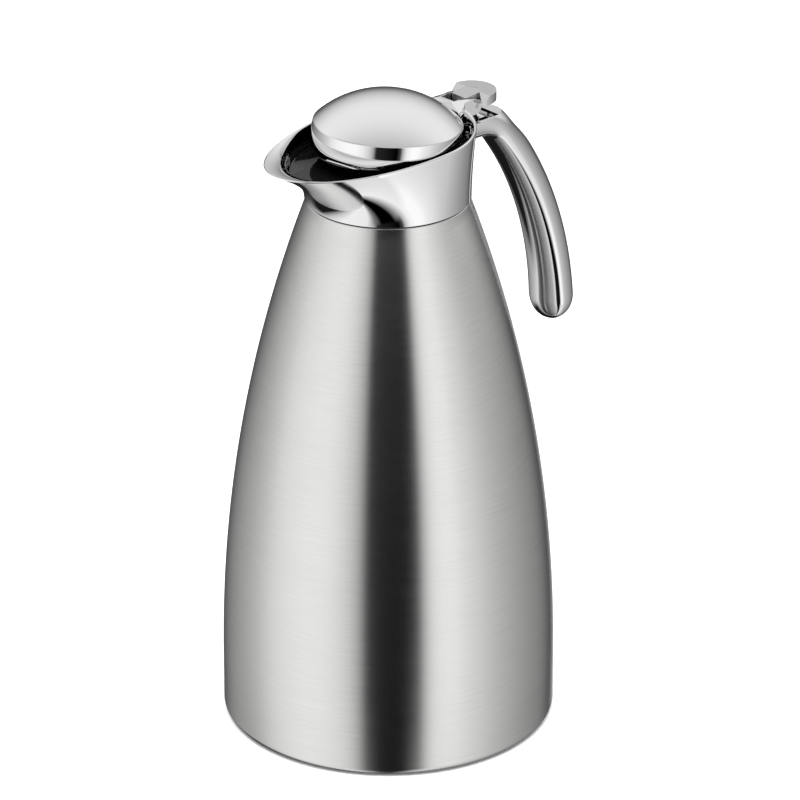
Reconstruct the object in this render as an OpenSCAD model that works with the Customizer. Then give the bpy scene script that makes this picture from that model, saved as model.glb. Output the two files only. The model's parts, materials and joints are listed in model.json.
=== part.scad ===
// Insulated vacuum jug with a hinged lid that a thumb lever opens.
// Frame: origin at the middle of the base on the table, +Z up, handle +X, spout -X. Millimetres.

/* [Body] */
// Radius of the body at its foot
body_r = 71; // [68:1:74]
// Height of the joint between body and collar
joint_z = 236; // [230:1:240]
// Radius of the body at that joint
joint_r = 34.3; // [34:0.1:35]
// Height up to which the body's side is straight
straight_z = 27; // [20:1:40]
// Radius of the rolled bottom edge
corner_r = 3; // [2.5:0.5:4]
// Thickness of the steel skin
skin = 0.8; // [0.6:0.1:1]

/* [Insulating flask] */
// Air gap between the skin and the glass
air_gap = 2.6; // [2:0.1:4]
// Thickness of each glass wall
glass = 1.6; // [1.2:0.1:2]
// Vacuum gap between the two glass walls
vacuum_gap = 5; // [4:0.5:6]
// Outer radius of the glass neck
neck_r = 24.5; // [24:0.1:25]
// Height of the glass lip
lip_z = 247; // [246:0.5:248]

/* [Collar and spout] */
// Radius of the collar's foot
collar_r = 35; // [35:0.1:36]
// Half the width of the rim
rim_half = 33.6; // [33:0.1:34.5]
// Reach of the spout's tip from the jug's axis
spout_reach = 63; // [56:1:66]
// Height of the rim beside the axis
rim_z = 264.5; // [263:0.5:266]
// Thickness of the collar's wall
collar_wall = 1.3; // [1.2:0.1:1.5]

/* [Lid] */
// Radius of the lid
lid_r = 31.8; // [31:0.1:32]
// Radius of the band where it meets the dome
edge_r = 31.3; // [31:0.1:31.5]
// Slope of the band, wider at its lower edge, in degrees
band_flare = 6; // [2:0.5:8]
// Height of the dome above its edge
dome_h = 13.4; // [10:0.2:15]
// Height of the dome's edge at the axis
dome_z = 269.1; // [268.5:0.1:270]
// Slope of the dome's edge, higher at the spout, in degrees
dome_tilt = 3.6; // [0:0.2:4]
// Height of the band's lower edge at the axis
band_z = 264.3; // [264:0.1:265]
// Slope of the band's lower edge, lower at the spout, in degrees
band_tilt = 6.8; // [4:0.2:7]

/* [Handle] */
// Radius of the bar at the top of the handle
bar_r = 9; // [8.5:0.1:9.5]
// Height of the bar's flat top
bar_top = 259.8; // [259.4:0.1:260]
// Radius of the grip's curve
grip_arc = 152.7; // [150:0.1:156]
// Half the width of the grip beside its rounded tip
grip_half = 10.6; // [9.5:0.1:11]
// Reach of the grip's outer face beyond its curve
grip_out = 11.4; // [10:0.1:12]

/* [Hinge and lever] */
// Radius of the lid's hinge pin
hinge_pin_r = 1.5; // [1.4:0.05:1.6]
// Radius of the lever's pin
lever_pin_r = 1; // [0.9:0.05:1.1]
// Radial clearance of a turning fit
fit = 0.04; // [0.02:0.01:0.08]
// Half the width of the lever's tongue
tongue_half = 4.2; // [4:0.1:4.3]
// Half the width of the thumb pad
pad_half = 10.3; // [9:0.1:11]

/* [Hidden] */
$fn = 96;
big = 400;

// Body: one arc, upright where it leaves the straight side
shell_z0 = 0.4;
arc_r = (pow(body_r - joint_r, 2) + pow(joint_z - straight_z, 2)) / (2 * (body_r - joint_r));
arc_x = body_r - arc_r;
function side_r(z, inset = 0) =
    z < straight_z ? body_r - inset : arc_x + sqrt(pow(arc_r - inset, 2) - pow(z - straight_z, 2));
function side_points(z0, z1, inset, n = 14) =
    [for (i = [0:n]) let (z = z0 + (z1 - z0) * i / n) [side_r(z, inset), z]];
function arc_points(cx, cz, r, a0, a1, n = 6) =
    [for (i = [0:n]) let (a = a0 + (a1 - a0) * i / n) [cx + r * cos(a), cz + r * sin(a)]];
function flip(points) = [for (i = [len(points) - 1:-1:0]) points[i]];
corner_x = body_r - corner_r;
corner_z = shell_z0 + corner_r;
shell_mouth_r = 31;
flange_r = 64;
foot_r = 53;
foot_w = 4;

// Flask: both glass walls follow the body and turn into a neck
outer_inset = skin + air_gap;
inner_inset = outer_inset + glass + vacuum_gap;
flask_low = 34;
flask_high = 212;
shoulder_z = 229;
flask_floor = 13;
floor_curve = pow(side_r(flask_low, outer_inset), 2) / (flask_low - flask_floor);

// Collar: a loft from a round foot to an egg-shaped rim
foot_gap = 0.4;
collar_z0 = joint_z + foot_gap;
egg_x = 4.5;
flare = 1.8;
function rim_height(x) = rim_z + 0.06 * x + 0.0005 * x * x;
function egg(a, inset) =
    let (half = rim_half - inset, reach = spout_reach + egg_x - inset)
    cos(a) >= 0 ? [egg_x + half * cos(a), half * sin(a)] : [egg_x + reach * cos(a), half * sin(a)];
function loft_point(a, t, inset) =
    let (foot = (collar_r - inset) * [cos(a), sin(a)], rim = egg(a, inset),
         p = foot + (rim - foot) * pow(t, flare))
    [p[0], p[1], collar_z0 + (rim_height(egg(a, 0)[0]) - collar_z0) * t];
loft_sides = 64;
loft_rings = 9;

// Lid hinge and lever pivot
hinge_x = 42.5;
hinge_z = 257.6;
pivot_x = 44.1;
pivot_z = 266.8;
eye_r = 2.8;
pocket_half = 7.3;
pocket_floor = 254.6;
pocket_x0 = 33;
pocket_x1 = 56;
cheek_in = 4.7;
cheek_out = 6.8;
lug_half = 3.2;
coil_x = 35.3;
coil_z = 267.2;
dome_r = (pow(lid_r, 2) + pow(dome_h, 2)) / (2 * dome_h);
cap_wall = 1.2;
pad_x = 47.4;
pad_z = 267.2;
pad_high = 271.3;
web_z = 262.6;
bracket_screw_x = 26;
bracket_screw_y = 4;

// Parts inside the body's mouth
skirt_r = 29.8;
skirt_in = 27.2;
notch_half = 7.6;
notch_z = 256.2;
joint_screw_y = 3.3;
joint_screw_z = 252;
seat_in = 20.4;
thread_r = 62.7;

// Handle: one tube along a straight bar, a bend and an arc. A size is its reach inwards,
// its reach outwards and half its width
bar_x0 = 34;
bar_z = bar_top - 1.3;
bar_size = [bar_r, bar_r, bar_r];
foot_size = [6, grip_out, grip_half];
head_size = [5.5, 9, 9];
shoulder_out = 5.6;
shoulder_angle = 33;
shoulder_span = 7;
grip_cx = -59.8;
grip_cz = 155.4;
grip_top = 40;
bend_angle = 38.5;
tip_angle = -0.7;
tip_span = 4;
tip_rings = 5;
grip_rings = 14;
bend_rings = 6;
grip_sides = 32;
bend_r = (bar_z - grip_cz - grip_arc * sin(bend_angle)) / (1 - sin(bend_angle));
bend_c = [grip_cx, grip_cz] + (grip_arc - bend_r) * [cos(bend_angle), sin(bend_angle)];
function ease(t) = let (s = min(1, max(0, t))) s * s * (3 - 2 * s);
function tube_ring(p, a, size) = [for (i = [0:grip_sides - 1])
    let (s = 360 * i / grip_sides, reach = cos(s) * (cos(s) > 0 ? size[1] : size[0]))
    [p[0] + reach * cos(a), size[2] * sin(s), p[1] + reach * sin(a)]];
function grip_size(a) = let (s = foot_size + (head_size - foot_size) * a / grip_top)
    [s[0], s[1] + (shoulder_out - s[1]) * ease((a - shoulder_angle) / shoulder_span), s[2]];
function grip_ring(a, share) =
    tube_ring([grip_cx, grip_cz] + grip_arc * [cos(a), sin(a)], a, share * grip_size(a));
function bend_ring(t) =
    let (a = bend_angle + (90 - bend_angle) * t, start = [head_size[0], shoulder_out, head_size[2]])
    tube_ring(bend_c + bend_r * [cos(a), sin(a)], a, start + (bar_size - start) * ease(t));

// Throat: a shallow funnel that the stopper fills
throat_r = 20;
throat_z = 248.6;
throat_slope = 0.45;
function throat(z) = throat_r + (z - throat_z) * throat_slope;

module ring(r_out, r_in, z0, z1) {
    translate([0, 0, z0]) difference() {
        cylinder(r = r_out, h = z1 - z0);
        translate([0, 0, -1]) cylinder(r = r_in, h = z1 - z0 + 2);
    }
}

// A rod along Y through (x, z), centred on the jug's plane of symmetry
module rod(x, z, r, half) {
    translate([x, half, z]) rotate([90, 0, 0]) cylinder(r = r, h = 2 * half);
}

// A plate cut from an outline in the XZ plane, between two values of Y
module plate(y0, y1, points) {
    translate([0, y1, 0]) rotate([90, 0, 0]) linear_extrude(y1 - y0) polygon(points);
}

module both_sides() {
    children();
    mirror([0, 1, 0]) children();
}

module block(x0, x1, half, z0, z1) {
    translate([x0, -half, z0]) cube([x1 - x0, 2 * half, z1 - z0]);
}

// Solid inside of the collar's loft, between two shares of its height
module loft(inset, t0 = 0, t1 = 1, lift = 0) {
    n = loft_sides;
    points = [for (j = [0:loft_rings], i = [0:n - 1])
        let (t = t0 + (t1 - t0) * j / loft_rings)
        loft_point(360 * i / n, t, inset) + [0, 0, j == loft_rings ? lift : j == 0 ? -lift : 0]];
    sides = [for (j = [0:loft_rings - 1], i = [0:n - 1])
        let (a = j * n + i, b = j * n + (i + 1) % n) each [[a, a + n, b], [b, a + n, b + n]]];
    top = [for (i = [1:n - 2]) [loft_rings * n, loft_rings * n + i + 1, loft_rings * n + i]];
    bottom = [for (i = [1:n - 2]) [0, i, i + 1]];
    polyhedron(points = points, faces = concat(sides, top, bottom));
}

module outer_shell() color("silver") rotate_extrude() polygon(concat(
    [[flange_r, shell_z0]],
    arc_points(corner_x, corner_z, corner_r, -90, 0),
    side_points(straight_z, joint_z, 0),
    [[shell_mouth_r, joint_z], [shell_mouth_r, joint_z - skin]],
    flip(side_points(straight_z, joint_z - skin, skin)),
    arc_points(corner_x, corner_z, corner_r - skin, 0, -90),
    [[flange_r, shell_z0 + skin]]));

// Threaded ring that holds the plate
module base_ring() color("dimgray") ring(68.2, thread_r + 0.1, shell_z0 + skin + 0.1, 10);

// Screw-in plate with three finger dents below and a seat for the cushion above
module base_plate() color("dimgray") difference() {
    union() {
        ring(thread_r - 0.1, 59.6, 1, 9.5);
        translate([0, 0, 1]) cylinder(r = 60, h = 3);
        ring(24, seat_in, 3.5, 8);
    }
    ring(foot_r + foot_w + 0.2, foot_r - 0.2, 0, 2);
    for (a = [60:120:300]) rotate(a) translate([36, 0, -1]) cylinder(r = 8, h = 3.2);
}

module foot_ring() color("black") ring(foot_r + foot_w, foot_r, 0, 2);

module flask_cushion() color("dimgray") difference() {
    translate([0, 0, 4.1]) cylinder(r = seat_in - 0.2, h = 14);
    translate([0, 0, flask_floor - 0.2 + floor_curve]) sphere(r = floor_curve);
    translate([0, 0, 4]) cylinder(r = 5, h = 20);
}

// Profile of one wall of the flask: floor, side, shoulder and neck
function wall_points(inset, neck, top) =
    let (r0 = side_r(flask_low, inset), r1 = side_r(flask_high, inset),
         low = flask_floor + inset - outer_inset)
    concat(
        [for (i = [0:8]) let (a = 90 * i / 8) [r0 * sin(a), flask_low - (flask_low - low) * cos(a)]],
        side_points(flask_low + 12, flask_high, inset, 10),
        [for (i = [1:5]) let (s = i / 6, e = (1 - cos(180 * s)) / 2)
            [r1 + (neck - r1) * e, flask_high + (shoulder_z - flask_high) * s]],
        [[neck, shoulder_z], [neck, top]]);

module flask_outer() color("silver") union() {
    rotate_extrude() polygon(concat(
        wall_points(outer_inset, neck_r, lip_z),
        [[neck_r - glass - 1.2, lip_z], [neck_r - glass - 1.2, lip_z - glass]],
        flip(wall_points(outer_inset + glass, neck_r - glass, lip_z - glass))));
    translate([0, 0, flask_floor - 5]) cylinder(r1 = 1.5, r2 = 3, h = 5.4);
}

module flask_inner() color("silver") rotate_extrude() polygon(concat(
    wall_points(inner_inset, neck_r - glass - 1.2, lip_z),
    flip(wall_points(inner_inset + glass, neck_r - 2 * glass - 1.2, lip_z))));

// Three pads that hold the walls apart
module flask_spacers() color("gainsboro") for (a = [0:120:240]) rotate(a)
    translate([side_r(80, inner_inset) + 0.5, 0, 80]) rotate([0, 90, 0])
        cylinder(r = 4, h = vacuum_gap - 1.2);

module neck_seal() color("dimgray") union() {
    ring(26, neck_r + 0.1, 243, lip_z + 0.05);
    ring(26, 20.6, lip_z + 0.05, throat_z - 0.05);
}

// Black throat: a funnel towards the spout and a skirt that goes down into the body
module pour_liner() color("black") difference() {
    union() {
        intersection() {
            loft(collar_wall + 0.25, 0.055, 0.82);
            union() {
                translate([0, 0, throat_z]) cylinder(r = big, h = 40);
                cylinder(r = skirt_r, h = 300);
                ring(40, 31.6, 238.4, 260);
            }
        }
        ring(skirt_r, skirt_in, 227, throat_z + 1);
    }
    translate([0, 0, throat_z - 20]) cylinder(r = skirt_in, h = 20);
    translate([0, 0, throat_z - 1])
        cylinder(r1 = throat(throat_z - 1), r2 = throat(throat_z + 5.4), h = 6.4);
    translate([0, 0, throat_z + 4])
        cylinder(r1 = throat(throat_z + 4), r2 = throat(throat_z + 4) + 44, h = 12);
    block(29, 45, notch_half + 0.2, throat_z + 1, 300);
}

module clamp_nut() color("dimgray") ring(33.2, skirt_r + 0.1, 229, joint_z - skin - 0.05);

module joint_gasket() color("black") ring(joint_r - 0.3, 30.6, joint_z, collar_z0);

// Gap in the rim that lets the bracket through to the handle
module rear_notch() {
    block(28, 45, notch_half, notch_z, 300);
}

module screw_holes(r) {
    for (y = [-joint_screw_y, joint_screw_y])
        translate([30, y, joint_screw_z]) rotate([0, 90, 0]) cylinder(r = r, h = 14);
}

module collar() color("white") difference() {
    loft(0);
    difference() {
        loft(collar_wall, 0, 1, 0.6);
        translate([0, 0, collar_z0 - 5]) cylinder(r = 50, h = 6.3);
    }
    translate([0, 0, 230]) cylinder(r = 30.4, h = 20);
    rear_notch();
    screw_holes(1.3);
}

// Solid through rings of points, with its two end rings capped
module ring_loft(rings) {
    n = len(rings[0]);
    last = len(rings) - 1;
    sides = [for (j = [0:last - 1], i = [0:n - 1])
        let (a = j * n + i, b = j * n + (i + 1) % n) each [[a, a + n, b], [b, a + n, b + n]]];
    polyhedron(points = [for (ring = rings) each ring],
        faces = concat(sides, [[for (i = [0:n - 1]) i]], [[for (i = [n - 1:-1:0]) last * n + i]]));
}

// The whole tube, from the rounded tip up to the bar's end
module handle_tube() ring_loft(concat(
    [for (i = [0:tip_rings]) let (s = 8 + 82 * i / tip_rings)
        grip_ring(tip_angle + tip_span * (1 - cos(s)), pow(sin(s), 0.8))],
    [for (i = [1:grip_rings]) let (start = tip_angle + tip_span)
        grip_ring(start + (bend_angle - start) * i / grip_rings, 1)],
    [for (i = [1:bend_rings]) bend_ring(i / bend_rings)],
    [tube_ring([bar_x0, bar_z], 90, bar_size)]));

module handle() color("white") difference() {
    handle_tube();
    block(0, 120, 30, bar_top, 300);
    translate([0, 0, 240]) cylinder(r1 = collar_r + 0.1, r2 = 37.4, h = 24);
    block(pocket_x0, pocket_x1, pocket_half, pocket_floor, 300);
    rod(hinge_x, hinge_z, hinge_pin_r, 20);
    screw_holes(1.02);
}

module handle_screws() color("silver") for (y = [-joint_screw_y, joint_screw_y])
    translate([32.4, y, joint_screw_z]) rotate([0, 90, 0]) {
        cylinder(r = 1, h = 11.4);
        cylinder(r = 2.1, h = 1.7);
    }

module hinge_pin() color("silver") rod(hinge_x, hinge_z, hinge_pin_r, 8.7);

// Everything above the dome's edge plane, raised by lift
module above_dome_edge(lift = 0) {
    translate([0, 0, dome_z + lift]) rotate([0, dome_tilt, 0])
        translate([-100, -100, 0]) cube([200, 200, 100]);
}

module dome_ball(r) {
    translate([0, 0, dome_z]) rotate([0, dome_tilt, 0])
        translate([0, 0, dome_h - dome_r]) sphere(r = r, $fn = 160);
}

module lid_cap() color("white") union() {
    intersection() {
        difference() {
            dome_ball(dome_r);
            dome_ball(dome_r - cap_wall);
        }
        above_dome_edge();
        cylinder(r = edge_r, h = big);
    }
    difference() {
        translate([0, 0, 250]) cylinder(r1 = edge_r + 19 * tan(band_flare), r2 = edge_r, h = 19);
        translate([0, 0, 240]) cylinder(r = lid_r - cap_wall, h = 40);
        above_dome_edge(0.02);
        translate([0, 0, band_z]) rotate([0, -band_tilt, 0])
            translate([-100, -100, -100]) cube([200, 200, 100]);
    }
}

module lid_foam() color("gainsboro") intersection() {
    dome_ball(dome_r - cap_wall - 0.3);
    translate([0, 0, 266]) cylinder(r = 27, h = 30);
}

module bracket_holes(r) {
    for (y = [-bracket_screw_y, bracket_screw_y])
        translate([bracket_screw_x, y, 256]) cylinder(r = r, h = 7.7);
}

module lid_stopper() color("black") difference() {
    rotate_extrude() polygon([
        [0, 248], [16, 248], [16, 249.6], [throat(249.6) - 3, 249.6], [throat(249.6) - 3, 252],
        [throat(252) - 0.6, 252], [throat(254) - 0.6, 254], [29, 259], [30.4, 260.4],
        [30.4, 265.6], [0, 265.6]]);
    block(21.8, 40, 6.8, 260.9, 300);
    bracket_holes(1);
    translate([0, 0, 240]) cylinder(r = 1.6, h = 18);
}

module lid_gasket() color("gray") rotate_extrude() polygon([
    [16.3, 248], [throat(248) - 0.9, 248], [throat(250) - 0.35, 250], [throat(251.8) - 0.35, 251.8],
    [throat(251.8) - 2, 251.8], [throat(249.4) - 2, 249.4], [16.3, 249.4]]);

module gasket_retainer() color("black") difference() {
    ring(18, 1.7, 245.6, 247.9);
    translate([0, 0, 245]) cylinder(r = 3.6, h = 1.9);
}

module retainer_screw() color("silver") union() {
    translate([0, 0, 245.7]) cylinder(r = 3.2, h = 1.2);
    translate([0, 0, 246.5]) cylinder(r = 1.55, h = 11);
}

// Cheeks for the lever's pin, a lug for the hinge pin and a foot under the dome
module lid_bracket() color("white") difference() {
    union() {
        both_sides() plate(cheek_in, cheek_out, [
            [30, 262.8], [36.7, 262.8], [44.6, 263.2], [46.6, 265], [46.8, 267], [46, 269],
            [44.1, 269.7], [38, 270.6], [30, 270.6]]);
        plate(-cheek_out, cheek_out, [[30, web_z], [36.4, web_z], [36.4, 270.6], [30, 270.6]]);
        plate(-lug_half, lug_half, [[34, 262.2], [38, 261.4], [hinge_x + 1, hinge_z + eye_r - 0.1],
            [hinge_x - 1, hinge_z - eye_r + 0.2], [36, 260.6], [34, 261]]);
        rod(hinge_x, hinge_z, eye_r, lug_half);
        block(22, 36.4, 6.6, 261, web_z);
    }
    translate([0, 0, web_z]) cylinder(r = lid_r + 0.1, h = 30);
    rod(pivot_x, pivot_z, lever_pin_r, 20);
    rod(hinge_x, hinge_z, hinge_pin_r + fit, 20);
    bracket_holes(1.2);
    difference() {
        block(33.4, 36.5, 3.9, 264.2, 300);
        rod(coil_x, coil_z, 0.7, 5);
    }
}

module bracket_screws() color("silver") for (y = [-bracket_screw_y, bracket_screw_y])
    translate([bracket_screw_x, y, 257]) {
        cylinder(r = 0.98, h = 6);
        translate([0, 0, 5.6]) cylinder(r = 2, h = 1.2);
    }

// Coils of the two springs, drawn as sleeves
module lid_spring() color("silver") both_sides()
    translate([hinge_x, 0, hinge_z]) rotate([-90, 0, 0]) ring(2.5, 1.75, 3.5, 7);

module lever_pin() color("silver") rod(pivot_x, pivot_z, lever_pin_r, cheek_out - 0.1);

// Flat T: a tongue between the cheeks and a round pad behind them
module thumb_lever() color("white") difference() {
    union() {
        plate(-tongue_half, tongue_half, [
            [39.2, 267.4], [39.2, 270.6], [49, pad_high], [49, pad_z], [43, 266]]);
        rod(pivot_x, pivot_z, eye_r, tongue_half);
        intersection() {
            translate([pad_x, 0, pad_z]) cylinder(r = pad_half, h = pad_high - pad_z);
            plate(-20, 20, [[44.3, pad_z], [60, pad_z], [60, 272], [47.8, pad_high]]);
        }
    }
    both_sides() translate([pivot_x, 7.2, pivot_z]) rotate([90, 0, 0])
        cylinder(r = 3.6, h = 7.2 - tongue_half - 0.1);
    rod(pivot_x, pivot_z, lever_pin_r + fit, 20);
}

module lever_spring() color("silver")
    translate([coil_x, 0, coil_z]) rotate([-90, 0, 0]) ring(1.6, 0.75, -3.6, 3.6);

outer_shell();
base_ring();
base_plate();
foot_ring();
flask_cushion();
flask_outer();
flask_inner();
flask_spacers();
neck_seal();
pour_liner();
clamp_nut();
joint_gasket();
collar();
handle();
handle_screws();
hinge_pin();
lid_cap();
lid_foam();
lid_stopper();
lid_gasket();
gasket_retainer();
retainer_screw();
lid_bracket();
bracket_screws();
lid_spring();
lever_pin();
thumb_lever();
lever_spring();
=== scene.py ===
import json
import math

import bmesh
import bpy
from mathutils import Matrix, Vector


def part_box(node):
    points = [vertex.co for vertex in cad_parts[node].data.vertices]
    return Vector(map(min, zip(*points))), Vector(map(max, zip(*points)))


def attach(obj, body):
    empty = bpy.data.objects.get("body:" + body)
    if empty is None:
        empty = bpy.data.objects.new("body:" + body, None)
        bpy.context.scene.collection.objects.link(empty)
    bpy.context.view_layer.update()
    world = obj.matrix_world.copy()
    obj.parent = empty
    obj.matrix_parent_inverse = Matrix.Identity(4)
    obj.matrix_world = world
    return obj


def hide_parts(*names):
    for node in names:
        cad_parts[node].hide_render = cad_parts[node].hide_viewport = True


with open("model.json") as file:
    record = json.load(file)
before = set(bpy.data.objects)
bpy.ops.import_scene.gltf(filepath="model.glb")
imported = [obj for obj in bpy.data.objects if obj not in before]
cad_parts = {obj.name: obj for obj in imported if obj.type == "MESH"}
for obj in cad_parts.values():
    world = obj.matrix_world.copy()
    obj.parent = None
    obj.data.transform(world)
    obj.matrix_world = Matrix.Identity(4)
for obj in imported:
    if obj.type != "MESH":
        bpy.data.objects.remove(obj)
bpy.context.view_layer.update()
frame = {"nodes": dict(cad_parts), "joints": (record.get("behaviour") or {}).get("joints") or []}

# Shapes are worked out in millimetres in the row frame and scaled to metres when a mesh is made.
MM = 0.001

# Measures read from the frame
shell_low, shell_high = (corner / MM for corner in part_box("outer_shell"))
joint_places = {joint["name"]: Vector(joint["pos_m"]) / MM for joint in frame["joints"]}
BODY_R = shell_high.x
SHELL_Z0 = shell_low.z
JOINT_Z = shell_high.z
COLLAR_Z0 = (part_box("collar")[0] / MM).z
BAR_TOP = (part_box("handle")[1] / MM).z
HINGE = joint_places["lid_hinge"]
PIVOT = joint_places["lever_pivot"]

# Body
JOINT_R = 34.3
STRAIGHT_Z = 27
CORNER_R = 3
SKIN = 0.8
FLANGE_R = 64
MOUTH_R = 31
SHOULDER_R = 0.5
# Above everything that a cut has to reach
ABOVE = 300
# Just off the jug's axis, where a turned outline starts
AXIS = 0.001

# Collar
COLLAR_R = 35
RIM_HALF = 33.6
RIM_Z = 264.5
RIM_SLOPE = 0.06
RIM_CURVE = 0.0005
EGG_X = 4.5
REACH = 63 + EGG_X
FLARE = 1.8
WALL = 1.3
SEAT_R = 30.4
NOTCH_HALF = 7.6
NOTCH_Z = 256.2
# Shares of the wall's height: the groove above the body, the start of the rolled lip, the lip's outer edge
GROOVE_SHARE = 0.019
LIP_SHARE = 0.68
EDGE_SHARE = 0.985
# The lip's peak above its edges, and its inner edge below the rim
LIP_PEAK = 0.45
LIP_DROP = 0.3

# Throat
THROAT_SIDE_GAP = 0.25
SKIRT_IN, SKIRT_OUT = 27.2, 29.8
SKIRT_Z = 227
FUNNEL_Z = 249.6

# Lid
LID_R = 31.8
DOME_H = 13.4
DOME_Z = 269.1
DOME_TILT = math.radians(3.6)
BAND_Z = 264.3
BAND_TILT = math.radians(6.8)
CAP_WALL = 1.2
EDGE_R = 31.3
EDGE_ROUND = 0.35
# Flare of the band, and how much more it has towards the spout
BAND_FLARE = math.radians(4)
FRONT_FLARE = math.radians(6)

# Handle
BAR_X = 34
BAR_Z = BAR_TOP - 1.3
GRIP_X, GRIP_Z = -59.8, 155.4
GRIP_ARC = 152.7
BEND_ANGLE = 38.5
SHOULDER_ANGLE = 32
# Inner reach, outer reach and half width of the section: the grip's at its foot and at its top, and the bar's
GRIP_LOW = (6.0, 11.4, 10.6)
GRIP_HIGH = (5.5, 9.0, 9.0)
BAR_SIZE = (9, 9, 9)
SHOULDER_OUT = 7.9
TIP_ANGLE = -0.7
TIP_SPAN = 4
POCKET_HALF = 7.3
POCKET_Z = 254.6
POCKET_X0, POCKET_X1 = 33, 56

# Lever and bracket
CHEEK_IN, CHEEK_OUT = 4.7, 6.8
WEB_X0, WEB_X1 = 30, 36.4
WEB_Z0, WEB_Z1 = 262.6, 270.8
LUG_HALF = 3.2
EYE_R = 2.8
HINGE_PIN_R = 1.5
HINGE_PIN_HALF = 8.7
LEVER_PIN_R = 0.96
TONGUE_HALF = 4.2
PAD_R = 10.3
PAD_X = 47.4
PAD_Z0, PAD_Z1 = 267.2, 271.3
PIN_CHAMFER = 0.15
# Springs: radius of the turns, of the wire
LEVER_COIL = (1.2, 0.38)
HINGE_COIL = (2.12, 0.36)
HINGE_COIL_Y = (3.9, 6.6)

# View and light
VIEW_ANGLE = math.radians(42)
CAMERA_PITCH = math.radians(25)
CAMERA_AT = (-1.539, -1.709, 1.215)
CAMERA_YAW = math.radians(0.128)
FLOOR_HALF = 6
FLOOR_Z = -1e-4
# Where the tent's walls end: downwards at the ground, upwards at the roof
GROUND_EDGE = (-0.66, -0.52)
ROOF_EDGE = (0.08, 0.36)


# ---------------------------------------------------------------- node helpers

def add_node(tree, kind, values=(), **settings):
    """A node of that kind, with its settings and the values or links of its sockets."""
    node = tree.nodes.new(kind)
    for key, value in settings.items():
        setattr(node, key, value)
    for key, value in dict(values).items():
        if isinstance(value, bpy.types.NodeSocket):
            tree.links.new(value, node.inputs[key])
        else:
            node.inputs[key].default_value = value
    return node


def math_node(tree, operation, *values):
    """The result of a sum on numbers or links."""
    return add_node(tree, "ShaderNodeMath", enumerate(values), operation=operation).outputs[0]


def vector_node(tree, operation, values):
    """The result of a sum on vectors."""
    return add_node(tree, "ShaderNodeVectorMath", values, operation=operation).outputs[0]


def mix_node(tree, factor, first, second):
    """A mix of two colours, each a colour or a link."""
    values = {0: factor, 6: first, 7: second}
    return add_node(tree, "ShaderNodeMix", values, data_type="RGBA").outputs[2]


def smooth_step(tree, value, low, high):
    """0 below low, 1 above high, with a smooth change between them."""
    values = {"Value": value, "From Min": low, "From Max": high}
    return add_node(tree, "ShaderNodeMapRange", values, interpolation_type="SMOOTHSTEP").outputs[0]


def ramp_node(tree, factor, stops):
    """A colour ramp of greys: stops are (position, grey)."""
    node = add_node(tree, "ShaderNodeValToRGB", {"Fac": factor})
    ramp = node.color_ramp
    while len(ramp.elements) > 1:
        ramp.elements.remove(ramp.elements[-1])
    for i, (position, grey) in enumerate(stops):
        element = ramp.elements[0] if i == 0 else ramp.elements.new(position)
        element.position = position
        element.color = (grey, grey, grey, 1)
    return node.outputs["Color"]


def new_group(name, inputs, outputs):
    """An empty node group with its sockets, its input node and its output node."""
    tree = bpy.data.node_groups.new(name, "ShaderNodeTree")
    for label, kind, value in inputs:
        socket = tree.interface.new_socket(label, in_out="INPUT", socket_type=kind)
        if value is not None:
            socket.default_value = value
    for label, kind in outputs:
        tree.interface.new_socket(label, in_out="OUTPUT", socket_type=kind)
    return tree, tree.nodes.new("NodeGroupInput").outputs, tree.nodes.new("NodeGroupOutput")


def use_group(tree, group, values):
    """The outputs of a node group set into a tree."""
    return add_node(tree, "ShaderNodeGroup", values, node_tree=group).outputs


# ---------------------------------------------------------------- effect groups

FLOAT, VECTOR = "NodeSocketFloat", "NodeSocketVector"
POSITION = ("Position", VECTOR, None)


def make_brush_lines():
    """Fine lines that run round the jug's axis, as long streaks with a slow patchiness."""
    inputs = [POSITION, ("Fineness", FLOAT, 1400.0), ("Streak", FLOAT, 3.0)]
    tree, given, out = new_group("brush_lines", inputs, [("Lines", FLOAT)])
    axes = add_node(tree, "ShaderNodeSeparateXYZ", {0: given["Position"]}).outputs
    angle = math_node(tree, "ARCTAN2", axes["Y"], axes["X"])
    along = math_node(tree, "MULTIPLY", angle, given["Streak"])
    across = math_node(tree, "MULTIPLY", axes["Z"], given["Fineness"])
    point = add_node(tree, "ShaderNodeCombineXYZ", {0: along, 1: across}).outputs[0]
    fine_values = {"Vector": point, "Scale": 1.0, "Detail": 3.0, "Roughness": 0.65}
    fine = add_node(tree, "ShaderNodeTexNoise", fine_values).outputs[0]
    patch_along = math_node(tree, "MULTIPLY", angle, 2.0)
    patch_across = math_node(tree, "MULTIPLY", axes["Z"], 60.0)
    patch_point = add_node(tree, "ShaderNodeCombineXYZ", {0: patch_along, 1: patch_across}).outputs[0]
    patch_values = {"Vector": patch_point, "Scale": 1.0, "Detail": 1.0}
    patch = add_node(tree, "ShaderNodeTexNoise", patch_values).outputs[0]
    fine_share = math_node(tree, "MULTIPLY", fine, 0.75)
    patch_share = math_node(tree, "MULTIPLY", patch, 0.25)
    total = math_node(tree, "ADD", fine_share, patch_share)
    tree.links.new(total, out.inputs["Lines"])
    return tree


def make_smudge():
    """Faint wiped patches, 0 where the surface is clean."""
    tree, given, out = new_group("smudge", [POSITION, ("Size", FLOAT, 40.0)], [("Mask", FLOAT)])
    values = {"Vector": given["Position"], "Scale": given["Size"], "Detail": 4.0, "Roughness": 0.6,
              "Distortion": 0.6}
    cloud = add_node(tree, "ShaderNodeTexNoise", values).outputs[0]
    mask = smooth_step(tree, cloud, 0.45, 0.75)
    tree.links.new(mask, out.inputs["Mask"])
    return tree


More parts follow.
